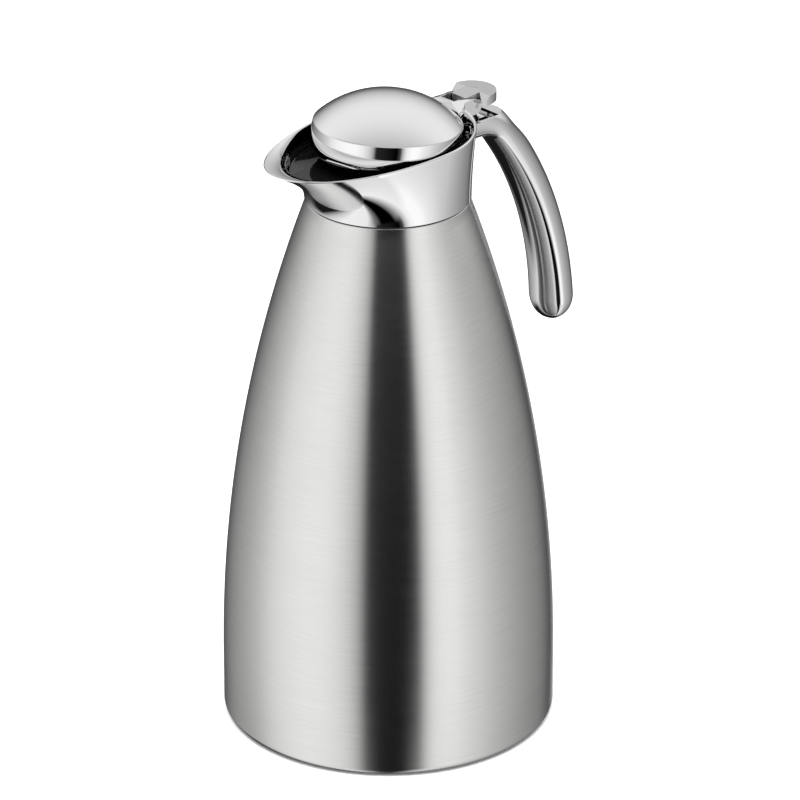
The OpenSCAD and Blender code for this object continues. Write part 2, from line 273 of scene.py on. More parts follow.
def make_hairlines():
    """Sparse hairline marks of handling, 1 along a mark."""
    tree, given, out = new_group("hairlines", [POSITION, ("Count", FLOAT, 30.0)], [("Mask", FLOAT)])
    warp_values = {"Vector": given["Position"], "Scale": 12.0}
    warped = add_node(tree, "ShaderNodeTexNoise", warp_values).outputs["Color"]
    offset = vector_node(tree, "SCALE", {0: warped, "Scale": 0.02})
    moved = vector_node(tree, "ADD", {0: given["Position"], 1: offset})
    stretched = vector_node(tree, "MULTIPLY", {0: moved, 1: (1.0, 6.0, 9.0)})
    cells = add_node(tree, "ShaderNodeTexVoronoi", {"Vector": stretched, "Scale": given["Count"]},
                     feature="DISTANCE_TO_EDGE").outputs[0]
    range_values = {"Value": cells, "From Min": 0.004, "From Max": 0.012, "To Min": 1.0, "To Max": 0.0}
    mask = add_node(tree, "ShaderNodeMapRange", range_values).outputs[0]
    tree.links.new(mask, out.inputs["Mask"])
    return tree


def make_grain():
    """The fine spark-eroded grain of a moulded surface."""
    inputs = [POSITION, ("Fineness", FLOAT, 2500.0)]
    tree, given, out = new_group("mould_grain", inputs, [("Height", FLOAT)])
    values = {"Vector": given["Position"], "Scale": given["Fineness"], "Detail": 2.0}
    noise = add_node(tree, "ShaderNodeTexNoise", values).outputs[0]
    tree.links.new(noise, out.inputs["Height"])
    return tree


def make_groups():
    """The effects that the materials share."""
    return {"lines": make_brush_lines(), "smudge": make_smudge(), "hairlines": make_hairlines(),
            "grain": make_grain()}


groups = make_groups()


# ---------------------------------------------------------------- materials

def new_material(name, colour, roughness, metallic=0.0, **uniform):
    """A material with one Principled shader. Returns it, its tree, its shader and the place on the object."""
    made = bpy.data.materials.new(name)
    made.use_nodes = True
    tree = made.node_tree
    shader = next(n for n in tree.nodes if n.type == "BSDF_PRINCIPLED")
    shader.inputs["Base Color"].default_value = (*colour, 1)
    shader.inputs["Roughness"].default_value = roughness
    shader.inputs["Metallic"].default_value = metallic
    for label, value in uniform.items():
        shader.inputs[label.replace("_", " ").title().replace("Ior", "IOR")].default_value = value
    place = tree.nodes.new("ShaderNodeTexCoord").outputs["Object"]
    return made, tree, shader, place


def vary(tree, shader, socket, factor, low, high):
    """Drives a number of the shader between two values by a factor from 0 to 1."""
    values = {"Value": factor, "To Min": low, "To Max": high}
    varied = add_node(tree, "ShaderNodeMapRange", values).outputs[0]
    tree.links.new(varied, shader.inputs[socket])


def vary_colour(tree, shader, factor, low, high):
    """Drives the base colour between two colours by a factor from 0 to 1."""
    tree.links.new(mix_node(tree, factor, (*low, 1), (*high, 1)), shader.inputs["Base Color"])


def bump(tree, shader, height, strength, distance):
    """Tilts the normals by a height, with the distance in metres."""
    node = add_node(tree, "ShaderNodeBump", {"Height": height, "Strength": strength, "Distance": distance})
    tree.links.new(node.outputs[0], shader.inputs["Normal"])


def scaled(colour, share):
    """The colour, lighter or darker by a share."""
    return tuple(min(1.0, c * share) for c in colour)


def brushed_steel():
    """Steel with fine lines round the jug, which stretch its reflections."""
    colour = (0.76, 0.757, 0.748)
    made, tree, shader, place = new_material("brushed_steel", colour, 0.26, 1.0, anisotropic=0.88,
                                             anisotropic_rotation=0.25)
    tangent = add_node(tree, "ShaderNodeTangent", direction_type="RADIAL", axis="Z").outputs[0]
    tree.links.new(tangent, shader.inputs["Tangent"])
    lines = use_group(tree, groups["lines"], {"Position": place})["Lines"]
    vary(tree, shader, "Roughness", lines, 0.20, 0.28)
    vary_colour(tree, shader, lines, scaled(colour, 0.90), scaled(colour, 1.10))
    return made


def chrome():
    """Polished plate with faint wiped patches."""
    colour = (0.90, 0.90, 0.905)
    made, tree, shader, place = new_material("chrome", colour, 0.03, 1.0)
    mask = use_group(tree, groups["smudge"], {"Position": place, "Size": 55.0})["Mask"]
    vary(tree, shader, "Roughness", mask, 0.02, 0.05)
    return made


def satin_chrome():
    """Fine-grained plate for the lever."""
    colour = (0.72, 0.72, 0.73)
    made, tree, shader, place = new_material("satin_chrome", colour, 0.3, 1.0)
    height = use_group(tree, groups["grain"], {"Position": place, "Fineness": 1800.0})["Height"]
    vary(tree, shader, "Roughness", height, 0.26, 0.36)
    return made


def turned_steel():
    """Bare steel for screws, pins and springs."""
    colour = (0.66, 0.66, 0.67)
    made, tree, shader, place = new_material("turned_steel", colour, 0.22, 1.0)
    mask = use_group(tree, groups["hairlines"], {"Position": place, "Count": 60.0})["Mask"]
    vary(tree, shader, "Roughness", mask, 0.2, 0.4)
    return made


def gloss_black():
    """Shiny black plastic of the throat and the stopper."""
    colour = (0.004, 0.004, 0.0042)
    made, tree, shader, place = new_material("gloss_black", colour, 0.08, specular_ior_level=0.25)
    mask = use_group(tree, groups["smudge"], {"Position": place, "Size": 80.0})["Mask"]
    vary(tree, shader, "Roughness", mask, 0.07, 0.14)
    return made


def matt_black():
    """Black plastic with a moulded grain."""
    colour = (0.03, 0.03, 0.032)
    made, tree, shader, place = new_material("matt_black", colour, 0.5)
    height = use_group(tree, groups["grain"], {"Position": place, "Fineness": 2500.0})["Height"]
    bump(tree, shader, height, 0.25, 0.0001)
    return made


def black_rubber():
    """Dull rubber, paler where it is rubbed."""
    colour = (0.025, 0.025, 0.026)
    made, tree, shader, place = new_material("black_rubber", colour, 0.8)
    height = use_group(tree, groups["grain"], {"Position": place, "Fineness": 1600.0})["Height"]
    bump(tree, shader, height, 0.4, 0.0001)
    mask = use_group(tree, groups["smudge"], {"Position": place, "Size": 90.0})["Mask"]
    vary_colour(tree, shader, mask, colour, (0.05, 0.05, 0.048))
    return made


def silicone():
    """The lid's pale soft seal."""
    colour = (0.55, 0.55, 0.54)
    made, tree, shader, place = new_material("silicone", colour, 0.42, subsurface_weight=0.2)
    mask = use_group(tree, groups["smudge"], {"Position": place, "Size": 70.0})["Mask"]
    vary(tree, shader, "Roughness", mask, 0.38, 0.5)
    return made


def silvered_glass():
    """Mirror under glass, for the flask."""
    colour = (0.8, 0.82, 0.83)
    made, tree, shader, place = new_material("silvered_glass", colour, 0.08, 1.0, coat_weight=1.0)
    mask = use_group(tree, groups["smudge"], {"Position": place, "Size": 30.0})["Mask"]
    vary(tree, shader, "Roughness", mask, 0.06, 0.14)
    return made


def felt():
    """Coarse felt pads between the flask's walls."""
    colour = (0.7, 0.68, 0.64)
    made, tree, shader, place = new_material("felt", colour, 0.95)
    height = use_group(tree, groups["grain"], {"Position": place, "Fineness": 900.0})["Height"]
    bump(tree, shader, height, 0.8, 0.0003)
    return made


def foam():
    """White insulation inside the lid."""
    colour = (0.88, 0.88, 0.85)
    made, tree, shader, place = new_material("foam", colour, 0.9)
    height = use_group(tree, groups["grain"], {"Position": place, "Fineness": 700.0})["Height"]
    bump(tree, shader, height, 0.6, 0.0003)
    return made


materials = {
    "brushed_shell": brushed_steel(), "chrome_plate": chrome(), "satin_chrome": satin_chrome(),
    "steel": turned_steel(), "black_gloss": gloss_black(), "black_plastic": matt_black(),
    "black_rubber": black_rubber(), "silicone": silicone(), "silvered_glass": silvered_glass(),
    "spacer_felt": felt(), "foam": foam(),
}


def dress_cad_nodes():
    """Gives every CAD node that stays its material."""
    finishes = {
        "steel": ["handle_screws", "retainer_screw", "bracket_screws"],
        "black_plastic": ["base_plate", "base_ring", "clamp_nut", "gasket_retainer"],
        "black_gloss": ["lid_stopper"],
        "black_rubber": ["foot_ring", "flask_cushion", "neck_seal", "joint_gasket"],
        "silicone": ["lid_gasket"],
        "silvered_glass": ["flask_outer", "flask_inner"],
        "spacer_felt": ["flask_spacers"],
        "foam": ["lid_foam"],
    }
    for slot, names in finishes.items():
        for name in names:
            node = frame["nodes"][name]
            node.data.materials.clear()
            node.data.materials.append(materials[slot])


# ---------------------------------------------------------------- mesh helpers

def mesh_from_rings(rings, loop=False):
    """A closed mesh through rings of points; the rings close on themselves with loop, or end in caps."""
    mesh = bmesh.new()
    rows = [[mesh.verts.new(Vector(p) * MM) for p in ring] for ring in rings]
    pairs = list(zip(rows, rows[1:])) + ([(rows[-1], rows[0])] if loop else [])
    for low, high in pairs:
        for i in range(len(low)):
            j = (i + 1) % len(low)
            mesh.faces.new((low[i], low[j], high[j], high[i]))
    if not loop:
        mesh.faces.new(rows[0])
        mesh.faces.new(rows[-1])
    bmesh.ops.remove_doubles(mesh, verts=mesh.verts, dist=1e-7)
    bmesh.ops.recalc_face_normals(mesh, faces=mesh.faces)
    return mesh


def full_turn(sides):
    """The angles of that many sides round a circle."""
    return [2 * math.pi * i / sides for i in range(sides)]


def columns_to_rings(columns):
    """Upright slices round the axis, as level rings."""
    return [list(ring) for ring in zip(*columns)]


def lathe(profile, sides=180):
    """A closed outline of (radius, height) turned round the jug's axis."""
    turns = full_turn(sides)
    rings = [[(r * math.cos(a), r * math.sin(a), z) for a in turns] for r, z in profile]
    return mesh_from_rings(rings, loop=True)


def prism(outline, y0, y1):
    """An outline of (x, z) extruded from y0 to y1."""
    return mesh_from_rings([[(x, y, z) for x, z in outline] for y in (y0, y1)])


def block(low, high):
    """A box from its lowest corner to its highest."""
    (x0, y0, z0), (x1, y1, z1) = low, high
    return prism([(x0, z0), (x1, z0), (x1, z1), (x0, z1)], y0, y1)


def rod(x, z, radius, half, sides=40, chamfer=0.0):
    """A rod along Y, with its ends chamfered."""
    end = radius - chamfer
    steps = [(-half, end), (-half + chamfer, radius), (half - chamfer, radius), (half, end)]
    turns = full_turn(sides)
    rings = [[(x + r * math.cos(a), y, z + r * math.sin(a)) for a in turns] for y, r in steps]
    return mesh_from_rings(rings)


def slice_off(mesh, point, normal):
    """Cuts away what lies beyond a plane and closes the cut."""
    everything = mesh.verts[:] + mesh.edges[:] + mesh.faces[:]
    bmesh.ops.bisect_plane(mesh, geom=everything, plane_co=Vector(point) * MM, plane_no=Vector(normal),
                           clear_outer=True)
    bmesh.ops.holes_fill(mesh, edges=[e for e in mesh.edges if e.is_boundary], sides=0)
    bmesh.ops.recalc_face_normals(mesh, faces=mesh.faces)
    return mesh


def arc(cx, cz, r, start, end, steps=8):
    """Points on an arc, angles in degrees."""
    angles = [math.radians(start + (end - start) * i / steps) for i in range(steps + 1)]
    return [(cx + r * math.cos(a), cz + r * math.sin(a)) for a in angles]


def to_object(name, mesh):
    """A mesh as an object of the scene."""
    data = bpy.data.meshes.new(name)
    mesh.to_mesh(data)
    mesh.free()
    made = bpy.data.objects.new(name, data)
    bpy.context.scene.collection.objects.link(made)
    return made


def bake_modifiers(target):
    """Turns a piece's modifiers into plain mesh."""
    evaluated = target.evaluated_get(bpy.context.evaluated_depsgraph_get())
    data = bpy.data.meshes.new_from_object(evaluated)
    target.modifiers.clear()
    target.data = data


def combine(target, others, operation):
    """Joins meshes to a piece or cuts them out of it."""
    for other in others:
        tool = to_object("tool", other)
        modifier = target.modifiers.new(operation.lower(), "BOOLEAN")
        modifier.operation = operation
        modifier.solver = "EXACT"
        modifier.object = tool
        bake_modifiers(target)
        bpy.data.objects.remove(tool)
    return target


def slice_piece(target, point, normal):
    """Cuts away what lies beyond a plane from a piece."""
    mesh = bmesh.new()
    mesh.from_mesh(target.data)
    slice_off(mesh, point, normal)
    mesh.to_mesh(target.data)
    mesh.free()


def soften(target, width, segments=3, angle=35):
    """Rounds a piece's edges."""
    modifier = target.modifiers.new("bevel", "BEVEL")
    modifier.width = width * MM
    modifier.segments = segments
    modifier.limit_method = "ANGLE"
    modifier.angle_limit = math.radians(angle)
    bake_modifiers(target)
    return target


def finish_piece(target, body, slot, stands_for=(), sharp=40, flat_faces=False):
    """Shades a piece smooth up to an angle, gives it its finish and sets it on its body."""
    for face in target.data.polygons:
        face.use_smooth = True
    target.data.set_sharp_from_angle(angle=math.radians(sharp))
    if flat_faces:
        modifier = target.modifiers.new("weighted_normals", "WEIGHTED_NORMAL")
        modifier.keep_sharp = True
        modifier.weight = 100
    target.data.materials.clear()
    target.data.materials.append(materials[slot])
    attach(target, body)
    if stands_for:
        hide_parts(*stands_for)
    return target


# ---------------------------------------------------------------- body

ARC_R = ((BODY_R - JOINT_R) ** 2 + (JOINT_Z - STRAIGHT_Z) ** 2) / (2 * (BODY_R - JOINT_R))


def side_r(z, inset=0.0):
    """Radius of the body at a height."""
    if z < STRAIGHT_Z:
        return BODY_R - inset
    return BODY_R - ARC_R + math.sqrt((ARC_R - inset) ** 2 - (z - STRAIGHT_Z) ** 2)


def side_points(z0, z1, inset, steps=48):
    """Points up the body's side, moved inwards by inset."""
    heights = [z0 + (z1 - z0) * i / steps for i in range(steps + 1)]
    return [(side_r(z, inset), z) for z in heights]


def make_body_shell():
    """The steel skin with its rolled foot and a small round where it turns in under the collar."""
    foot = arc(BODY_R - CORNER_R, SHELL_Z0 + CORNER_R, CORNER_R, -90, 0)
    inner_foot = arc(BODY_R - CORNER_R, SHELL_Z0 + CORNER_R, CORNER_R - SKIN, 0, -90)
    top = JOINT_Z - SHOULDER_R
    shoulder = arc(side_r(top) - SHOULDER_R, top, SHOULDER_R, 12, 90, 4)
    profile = [(FLANGE_R, SHELL_Z0)] + foot + side_points(STRAIGHT_Z, top, 0) + shoulder
    profile += [(MOUTH_R, JOINT_Z), (MOUTH_R, JOINT_Z - SKIN)]
    profile += side_points(STRAIGHT_Z, JOINT_Z - SKIN, SKIN)[::-1] + inner_foot
    profile += [(FLANGE_R, SHELL_Z0 + SKIN)]
    made = to_object("body_shell", lathe(profile, 240))
    return finish_piece(made, "jug", "brushed_shell", ["outer_shell"])


# ---------------------------------------------------------------- collar and throat

def rim_height(x):
    """Height of the rim at a place along the jug."""
    return RIM_Z + RIM_SLOPE * x + RIM_CURVE * x * x


def rim_point(a, inset):
    """The egg-shaped rim, seen from above."""
    half, reach = RIM_HALF - inset, REACH - inset
    along = half if math.cos(a) >= 0 else reach
    return Vector((EGG_X + along * math.cos(a), half * math.sin(a)))


def loft_point(a, t, inset):
    """A point of the collar's wall at angle a and share t of its height."""
    foot = (COLLAR_R - inset) * Vector((math.cos(a), math.sin(a)))
    flat = foot + (rim_point(a, inset) - foot) * t ** FLARE
    height = COLLAR_Z0 + (rim_height(rim_point(a, 0).x) - COLLAR_Z0) * t
    return Vector((flat.x, flat.y, height))


def collar_column(a, steps=22):
    """One closed slice of the collar's wall: outside, rounded lip, rolled inner face, inside."""
    rise = EDGE_SHARE - GROOVE_SHARE
    outside = [loft_point(a, GROOVE_SHARE + rise * i / steps, 0) for i in range(steps + 1)]
    start = loft_point(a, 1.0, WALL * 0.8)
    foot = loft_point(a, LIP_SHARE, WALL)
    start.z -= LIP_DROP
    roll = []
    for i in range(13):
        s = math.pi / 2 * i / 12
        level = start.lerp(foot, math.sin(s) ** 1.15)
        roll.append(Vector((level.x, level.y, foot.z + (start.z - foot.z) * math.cos(s) ** 0.9)))
    low = LIP_SHARE - GROOVE_SHARE
    inside = [loft_point(a, GROOVE_SHARE + low * i / 12, WALL) for i in range(11, -1, -1)]
    outer = outside[-1]
    peak = (outer + start) / 2 + Vector((0, 0, LIP_PEAK))
    lip = [outer.lerp(peak, 0.5) + Vector((0, 0, 0.14)), peak, peak.lerp(start, 0.5) + Vector((0, 0, 0.12))]
    return outside + lip + roll + inside


def make_collar():
    """The collar with the ring that it stands on and the notch for the lid's hinge."""
    sides = 256
    columns = [collar_column(a) for a in full_turn(sides)]
    made = to_object("collar_shell", mesh_from_rings(columns_to_rings(columns), loop=True))
    outer = COLLAR_R - 1.1
    top = COLLAR_Z0 + WALL
    foot_ring = lathe([(SEAT_R, COLLAR_Z0), (outer, COLLAR_Z0), (outer, top), (SEAT_R, top)], sides)
    combine(made, [foot_ring], "UNION")
    combine(made, [block((28, -NOTCH_HALF, NOTCH_Z), (45, NOTCH_HALF, ABOVE))], "DIFFERENCE")
    return finish_piece(made, "jug", "chrome_plate", ["collar"])


def make_throat():
    """The black funnel inside the collar, cut by the throat and by the way to the spout."""
    sides = 192
    steps = 16
    shares = [0.4 + (LIP_SHARE - 0.42) * k / steps for k in range(steps + 1)]
    rings = [[loft_point(a, share, WALL + THROAT_SIDE_GAP) for a in full_turn(sides)] for share in shares]
    made = to_object("throat_liner", mesh_from_rings(rings))
    bore = lathe([(AXIS, 240), (20, 240), (20, 248.6), (22.2, 253.4), (28, 254.9), (66, 265.5),
                  (66, ABOVE), (AXIS, ABOVE)], sides)
    half = NOTCH_HALF + 0.2
    notch = block((29, -half, FUNNEL_Z), (45, half, ABOVE))
    combine(made, [bore, notch], "DIFFERENCE")
    skirt = [(SKIRT_IN, SKIRT_Z), (SKIRT_OUT, SKIRT_Z), (SKIRT_OUT, FUNNEL_Z), (SKIRT_IN, FUNNEL_Z)]
    combine(made, [lathe(skirt, 128)], "UNION")
    return finish_piece(made, "jug", "black_gloss", ["pour_liner"])


# ---------------------------------------------------------------- lid

DOME_R = (LID_R ** 2 + DOME_H ** 2) / (2 * DOME_H)


def dome_point(a, radius, inset=0.0):
    """A point of the dome, which tilts up towards the spout."""
    x = radius * math.cos(a)
    z = math.sqrt((DOME_R - inset) ** 2 - radius ** 2) - (DOME_R - DOME_H)
    cos, sin = math.cos(DOME_TILT), math.sin(DOME_TILT)
    return Vector((x * cos + z * sin, radius * math.sin(a), DOME_Z + (z * cos - x * sin)))


def cap_column(a, steps=26):
    """One slice of the lid's shell: dome, rounded edge, band, and back inside."""
    edge = EDGE_R - EDGE_ROUND
    dome = [dome_point(a, edge * math.sin(math.pi / 2 * i / steps)) for i in range(steps + 1)]
    crease = dome_point(a, EDGE_R)
    flat = Vector((math.cos(a), math.sin(a), 0))
    corner = crease.z - 0.1
    low = min(BAND_Z + LID_R * math.cos(a) * math.tan(BAND_TILT), corner - 0.9)
    slope = math.tan(BAND_FLARE + FRONT_FLARE * max(0, -math.cos(a)))

    def band_point(z, inset=0.0):
        """A point of the flared band."""
        return flat * (EDGE_R - inset + (corner - z) * slope) + Vector((0, 0, z))

    band_top = band_point(corner - EDGE_ROUND)
    turn = [dome[-1].lerp(crease, 0.6).lerp(band_top, 0.15), dome[-1].lerp(band_top, 0.72) + flat * 0.05]
    band = [band_top, band_point(low + 0.25), band_point(low + 0.08, 0.08), band_point(low, 0.25)]
    inner = LID_R - CAP_WALL
    x, y = flat.x * inner, flat.y * inner
    back = [Vector((x, y, low)), Vector((x, y, corner - 0.8))]
    turns = [math.pi / 2 * i / 12 for i in range(12, -1, -1)]
    under = [dome_point(a, (inner - 0.6) * math.sin(turn), CAP_WALL) for turn in turns]
    return dome + turn + band + back + under


def make_lid():
    """The lid's shell: a dome with a band round it."""
    sides = 256
    columns = [cap_column(a) for a in full_turn(sides)]
    made = to_object("lid_dome", mesh_from_rings(columns_to_rings(columns)))
    return finish_piece(made, "lid", "chrome_plate", ["lid_cap"])


# ---------------------------------------------------------------- handle

def tube_ring(middle, out, size, sides=96):
    """A cross-section of the handle: size is its inner reach, its outer reach and half its width."""
    inner, outer, half = size
    points = []
    for s in full_turn(sides):
        reach = math.cos(s) * (outer if math.cos(s) > 0 else inner)
        points.append((middle[0] + out[0] * reach, half * math.sin(s), middle[1] + out[1] * reach))
    return points


def mixed(first, second, share):
    """A size between two sizes."""
    return tuple(a + (b - a) * share for a, b in zip(first, second))


def ease(share):
    """0 to 1 with a smooth start and end."""
    share = min(1.0, max(0.0, share))
    return share * share * (3 - 2 * share)


def grip_ring(degrees, share=1.0):
    """A cross-section of the grip at an angle of its arc, shrunk to a share of its size."""
    a = math.radians(degrees)
    out = (math.cos(a), math.sin(a))
    inner, outer, half = mixed(GRIP_LOW, GRIP_HIGH, degrees / BEND_ANGLE)
    span = BEND_ANGLE - SHOULDER_ANGLE
    outer += (SHOULDER_OUT - outer) * ease((degrees - SHOULDER_ANGLE) / span)
    size = (inner * share, outer * share, half * share)
    return tube_ring((GRIP_X + GRIP_ARC * out[0], GRIP_Z + GRIP_ARC * out[1]), out, size)


def bend_rings(steps=24):
    """The fillet between the grip's arc and the bar's straight line. Returns its middle and its rings."""
    a = math.radians(BEND_ANGLE)
    end = Vector((GRIP_X + GRIP_ARC * math.cos(a), GRIP_Z + GRIP_ARC * math.sin(a)))
    radius = (BAR_Z - end.y) / (1 - math.sin(a))
    middle = end - radius * Vector((math.cos(a), math.sin(a)))
    shoulder = (GRIP_HIGH[0], SHOULDER_OUT, GRIP_HIGH[2])
    rings = []
    for i in range(1, steps + 1):
        share = i / steps
        turn = a + (math.pi / 2 - a) * share
        out = (math.cos(turn), math.sin(turn))
        place = (middle.x + radius * out[0], middle.y + radius * out[1])
        rings.append(tube_ring(place, out, mixed(shoulder, BAR_SIZE, ease(share))))
    return middle, rings


def make_handle():
    """The handle: a rounded tip, the grip's arc, the bend and the flat-topped bar with its pocket."""
    turns = [math.pi / 2 * i / 14 for i in range(15)]
    tip = [grip_ring(TIP_ANGLE + TIP_SPAN * (1 - math.cos(s)), math.sin(s) ** 0.8 + 1e-4) for s in turns]
    start = TIP_ANGLE + TIP_SPAN
    grip = [grip_ring(start + (BEND_ANGLE - start) * i / 60) for i in range(1, 61)]
    middle, bend = bend_rings()
    places = [middle.x + (BAR_X - middle.x) * i / 4 for i in range(1, 5)]
    bar = [tube_ring((x, BAR_Z), (0, 1), BAR_SIZE) for x in places]
    made = to_object("handle_grip", mesh_from_rings(tip + grip + bend + bar))
    top = block((20, -30, BAR_TOP), (120, 30, ABOVE))
    collar = lathe([(AXIS, 230), (COLLAR_R - 0.5, 230), (COLLAR_R + 0.1, 240), (37.4, 264), (AXIS, 264)], 128)
    pocket = block((POCKET_X0, -POCKET_HALF, POCKET_Z), (POCKET_X1, POCKET_HALF, ABOVE))
    combine(made, [top, collar, pocket], "DIFFERENCE")
    return finish_piece(made, "jug", "chrome_plate", ["handle"], flat_faces=True)


# ---------------------------------------------------------------- bracket, lever and springs

def wing(side):
    """A thin end of the web, which runs out along the dome's edge."""
    outline = [(29.5, 10.2), (31.3, 10.2), (34.4, 8.8), (37.4, 6.6), (29.5, 6)]
    return mesh_from_rings([[(x, side * y, z) for x, y in outline] for z in (265.4, WEB_Z1)])


def make_bracket():
    """Two cheeks for the lever's pin, a web along the dome's edge and a lug on the hinge pin."""
    web = [(WEB_X0, WEB_Z0), (WEB_X1, WEB_Z0), (WEB_X1, WEB_Z1), (WEB_X0, WEB_Z1)]
    cheek = [(WEB_X0, 262.8), (44.6, 263.1), (46.2, 264.8)]
    cheek += arc(PIVOT.x, PIVOT.z, EYE_R - 0.05, -30, 80, 10)
    cheek += [(40, 270.3), (36.5, WEB_Z1), (WEB_X0, WEB_Z1)]
    made = to_object("lever_bracket", prism(web, -CHEEK_OUT, CHEEK_OUT))
    cheeks = [prism(cheek, CHEEK_IN, CHEEK_OUT), prism(cheek, -CHEEK_OUT, -CHEEK_IN)]
    combine(made, cheeks + [wing(1), wing(-1)], "UNION")
    for side in (1, -1):
        slice_piece(made, (34, side * CHEEK_OUT, 269.9), (-0.05, side * 0.44, 1))
    lug = prism([(34, 262.2), (38, 261.4), (HINGE.x + 1, HINGE.z + 2.7), (HINGE.x - 1, HINGE.z - 2.6),
                 (36, 260.6), (34, 261)], -LUG_HALF, LUG_HALF)
    foot = block((22, -6.6, 261), (WEB_X1, 6.6, WEB_Z0))
    combine(made, [lug, rod(HINGE.x, HINGE.z, EYE_R, LUG_HALF), foot], "UNION")
    bowl = LID_R + 0.1
    lid_room = lathe([(AXIS, WEB_Z0), (bowl, WEB_Z0), (bowl, ABOVE), (AXIS, ABOVE)], 256)
    pocket = block((33.4, -3.9, 264.2), (36.5, 3.9, ABOVE))
    bores = [rod(PIVOT.x, PIVOT.z, LEVER_PIN_R + 0.04, 20), rod(HINGE.x, HINGE.z, HINGE_PIN_R + 0.04, 20)]
    combine(made, [lid_room, pocket, *bores], "DIFFERENCE")
    soften(made, 0.18, 2)
    return finish_piece(made, "lid", "chrome_plate", ["lid_bracket"], sharp=50, flat_faces=True)


def pad_half(side):
    """Half of the thumb pad: a disc with a sloping facet beside the tongue."""
    turns = full_turn(128)
    mesh = mesh_from_rings([[(PAD_X + PAD_R * math.cos(a), PAD_R * math.sin(a), z) for a in turns]
                            for z in (PAD_Z0, PAD_Z1)])
    notch = Vector((47.8, side * TONGUE_HALF, 271.2))
    corner = Vector((44.3, side * 9.5, 267.3))
    along = corner - notch
    slice_off(mesh, (0, 0, 0), (0, -side, 0))
    slice_off(mesh, notch, (-1, 0, 1))
    slice_off(mesh, notch, (-side * along.y, side * along.x, 0))
    return mesh


def make_lever():
    """The thumb lever: a tongue between the cheeks and a round pad behind them."""
    tongue = [(39.9, 267.0), (39.9, 270.5), (48.5, 271.2), (52, 271.2), (52, PAD_Z0), (43, 266)]
    made = to_object("lever_plate", prism(tongue, -TONGUE_HALF, TONGUE_HALF))
    combine(made, [rod(PIVOT.x, PIVOT.z, EYE_R, TONGUE_HALF), pad_half(1), pad_half(-1)], "UNION")
    slice_piece(made, (47.8, 0, 271.25), (-0.03, 0, 1))
    combine(made, [rod(PIVOT.x, PIVOT.z, LEVER_PIN_R + 0.08, 20)], "DIFFERENCE")
    soften(made, 0.2, 2)
    return finish_piece(made, "lever", "satin_chrome", ["thumb_lever"], sharp=50, flat_faces=True)


def make_pins():
    """The lid's hinge pin and the lever's pin, with chamfered ends."""
    hinge = to_object("hinge_rod", rod(HINGE.x, HINGE.z, HINGE_PIN_R, HINGE_PIN_HALF, 48, 2 * PIN_CHAMFER))
    finish_piece(hinge, "jug", "steel", ["hinge_pin"])
    pin = to_object("lever_rod", rod(PIVOT.x, PIVOT.z, LEVER_PIN_R, CHEEK_OUT - 0.05, 48, PIN_CHAMFER))
    finish_piece(pin, "lid", "steel", ["lever_pin"])


def coil(x, z, size, y0, y1, turns):
    """A coil spring along Y."""
    radius, wire = size
    steps = int(turns * 28)
    side = Vector((0, 1, 0))
    rings = []
    for i in range(steps + 1):
        a = 2 * math.pi * turns * i / steps
        out = Vector((math.cos(a), 0, math.sin(a)))
        middle = Vector((x, y0 + (y1 - y0) * i / steps, z)) + out * radius
        rings.append([middle + out * wire * math.cos(s) + side * wire * math.sin(s) for s in full_turn(10)])
    return mesh_from_rings(rings)


def make_springs():
    """The lever's spring in its pocket and the lid's two springs beside the lug."""
    made = to_object("lever_coil", coil(35.3, 267.2, LEVER_COIL, -3.2, 3.2, 6))
    finish_piece(made, "lid", "steel", ["lever_spring"])
    near, far = HINGE_COIL_Y
    left = to_object("hinge_coil_a", coil(HINGE.x, HINGE.z, HINGE_COIL, near, far, 3.4))
    finish_piece(left, "jug", "steel", ["lid_spring"])
    right = to_object("hinge_coil_b", coil(HINGE.x, HINGE.z, HINGE_COIL, -far, -near, 3.4))
    finish_piece(right, "jug", "steel")


# ---------------------------------------------------------------- stage

def make_floor():
    """A pale floor just below the foot."""
    data = bpy.data.meshes.new("floor")
    corners = [(x * FLOOR_HALF, y * FLOOR_HALF, FLOOR_Z) for x, y in ((-1, -1), (1, -1), (1, 1), (-1, 1))]
    data.from_pydata(corners, [], [(0, 1, 2, 3)])
    floor = bpy.data.objects.new("floor", data)
    bpy.context.scene.collection.objects.link(floor)
    data.materials.append(new_material("pale_floor", (0.93, 0.93, 0.93), 0.8)[0])
    floor.visible_glossy = False


# Greys of the light tent, by the angle from the camera's side in degrees
WALL_TONES = [(-180, 0.01), (-172, 0.03), (-160, 0.09), (-146, 0.24), (-116, 0.48), (-100, 0.68),
              (-89, 0.87), (-78, 0.98), (-60, 1.06), (-46, 1.04), (-36, 0.93), (-26, 0.70), (-20, 0.45),
              (-15, 0.02), (16, 0.0), (21, 0.06), (25, 0.55), (31, 0.95), (39, 1.08), (48, 1.06),
              (56, 0.92), (66, 0.80), (76, 0.66), (88, 0.54), (100, 0.44), (116, 0.33), (132, 0.25),
              (150, 0.08), (158, 0.02), (164, 0.5), (172, 0.75), (180, 0.05)]
GROUND_TONES = [(-180, 0.01), (-118, 0.01), (-95, 0.6), (-70, 0.95), (-30, 0.9), (-18, 0.2), (-8, 0.0),
                (12, 0.0), (20, 0.3), (32, 0.95), (80, 0.6), (120, 0.3), (180, 0.01)]
# Greys of the roof, by the turn in degrees from the far horizon over the top to the near side
ROOF_START = -20
ROOF_TONES = [(-20, 0.02), (-10, 0.06), (0, 0.15), (3, 0.2), (13, 0.43), (22, 0.61), (30, 0.72),
              (36, 0.8), (43, 0.85), (52, 0.88), (64, 0.87), (73, 0.84), (81, 0.79), (90, 0.71),
              (98, 0.63), (104, 0.56), (118, 0.5), (140, 0.7), (160, 0.92), (180, 0.95)]


def around(tones):
    """Angles in degrees as places on a ramp."""
    return [((angle + 180) / 360, grey) for angle, grey in tones]


